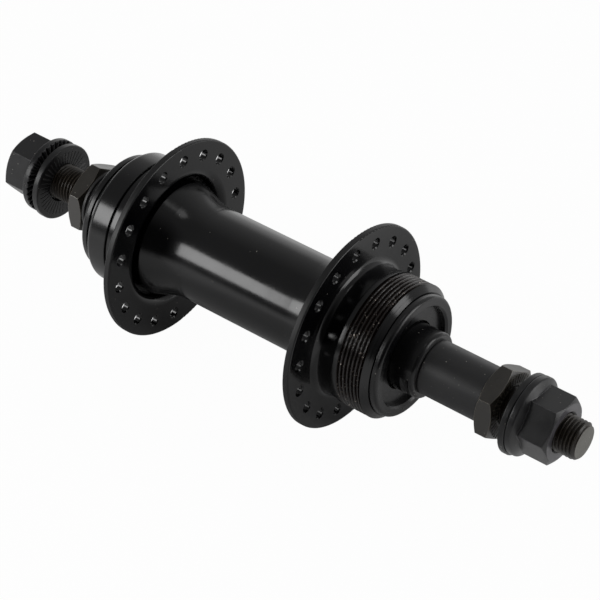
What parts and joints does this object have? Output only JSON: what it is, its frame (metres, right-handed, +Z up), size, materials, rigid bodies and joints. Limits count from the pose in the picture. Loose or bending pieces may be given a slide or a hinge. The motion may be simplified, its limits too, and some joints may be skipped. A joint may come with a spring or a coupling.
{
  "type": "bicycle rear hub",
  "caption": "Threaded bicycle rear hub: spoke flanges on a flared barrel, drive-side freewheel thread, solid axle with cones, spacer, locknuts, washers and flanged axle nuts.",
  "frame": {"origin": "on the axle's centreline, midway between the outer faces of the two locknuts", "axes": "+Y along the axle towards the left (non-drive) side, -Y towards the freewheel thread, +Z up as pictured, +X completes the right-handed frame"},
  "size_m": [0.0532, 0.1726, 0.0532],
  "materials": {
    "gloss_black_shell": "gloss",
    "black_oxide": "satin",
    "brown_oxide_steel": "satin",
    "bearing_steel": "polished",
    "pressed_steel": "satin"
  },
  "bodies": {
    "axle_set": {"axle": "brown_oxide_steel", "left_cone": "black_oxide", "right_cone": "black_oxide", "left_lock_washer": "black_oxide", "right_spacer": "black_oxide", "left_locknut": "brown_oxide_steel", "right_locknut": "brown_oxide_steel"},
    "hub_shell": {"barrel": "gloss_black_shell", "left_flange_cup": "gloss_black_shell", "right_flange_cup": "gloss_black_shell", "left_bearing_race": "bearing_steel", "right_bearing_race": "bearing_steel", "left_dust_cap": "gloss_black_shell", "right_dust_cap": "gloss_black_shell"},
    "left_ball_set": {"left_balls": "bearing_steel", "left_ball_cage": "pressed_steel"},
    "right_ball_set": {"right_balls": "bearing_steel", "right_ball_cage": "pressed_steel"},
    "left_washer_body": {"left_washer": "black_oxide"},
    "left_nut_body": {"left_axle_nut": "black_oxide"},
    "right_washer_body": {"right_washer": "black_oxide"},
    "right_nut_body": {"right_axle_nut": "black_oxide"}
  },
  "joints": [
    {"name": "shell_spin", "type": "hinge", "parent": "axle_set", "child": "hub_shell", "pos_m": [0, 0, 0], "axis": [0, 1, 0], "continuous": true},
    {"name": "left_balls_roll", "type": "hinge", "parent": "axle_set", "child": "left_ball_set", "pos_m": [0, 0.0485, 0], "axis": [0, 1, 0], "continuous": true},
    {"name": "right_balls_roll", "type": "hinge", "parent": "axle_set", "child": "right_ball_set", "pos_m": [0, -0.0319, 0], "axis": [0, 1, 0], "continuous": true},
    {"name": "left_nut_travel", "type": "slide", "parent": "axle_set", "child": "left_washer_body", "axis": [0, 1, 0], "range_m": [-0.009, 0.009]},
    {"name": "left_nut_turn", "type": "hinge", "parent": "left_washer_body", "child": "left_nut_body", "pos_m": [0, 0.0826, 0], "axis": [0, 1, 0], "range_deg": [-3240, 2520]},
    {"name": "right_nut_travel", "type": "slide", "parent": "axle_set", "child": "right_washer_body", "axis": [0, 1, 0], "range_m": [-0.016, 0.0028]},
    {"name": "right_nut_turn", "type": "hinge", "parent": "right_washer_body", "child": "right_nut_body", "pos_m": [0, -0.0746, 0], "axis": [0, 1, 0], "range_deg": [-5400, 1000]}
  ],
  "couplings": [
    {"joint": "left_balls_roll", "follows": "shell_spin", "ratio": 0.6157},
    {"joint": "right_balls_roll", "follows": "shell_spin", "ratio": 0.6157},
    {"joint": "left_nut_travel", "follows": "left_nut_turn", "m_per_rad": 0.00015548},
    {"joint": "right_nut_travel", "follows": "right_nut_turn", "m_per_rad": 0.00015548}
  ]
}
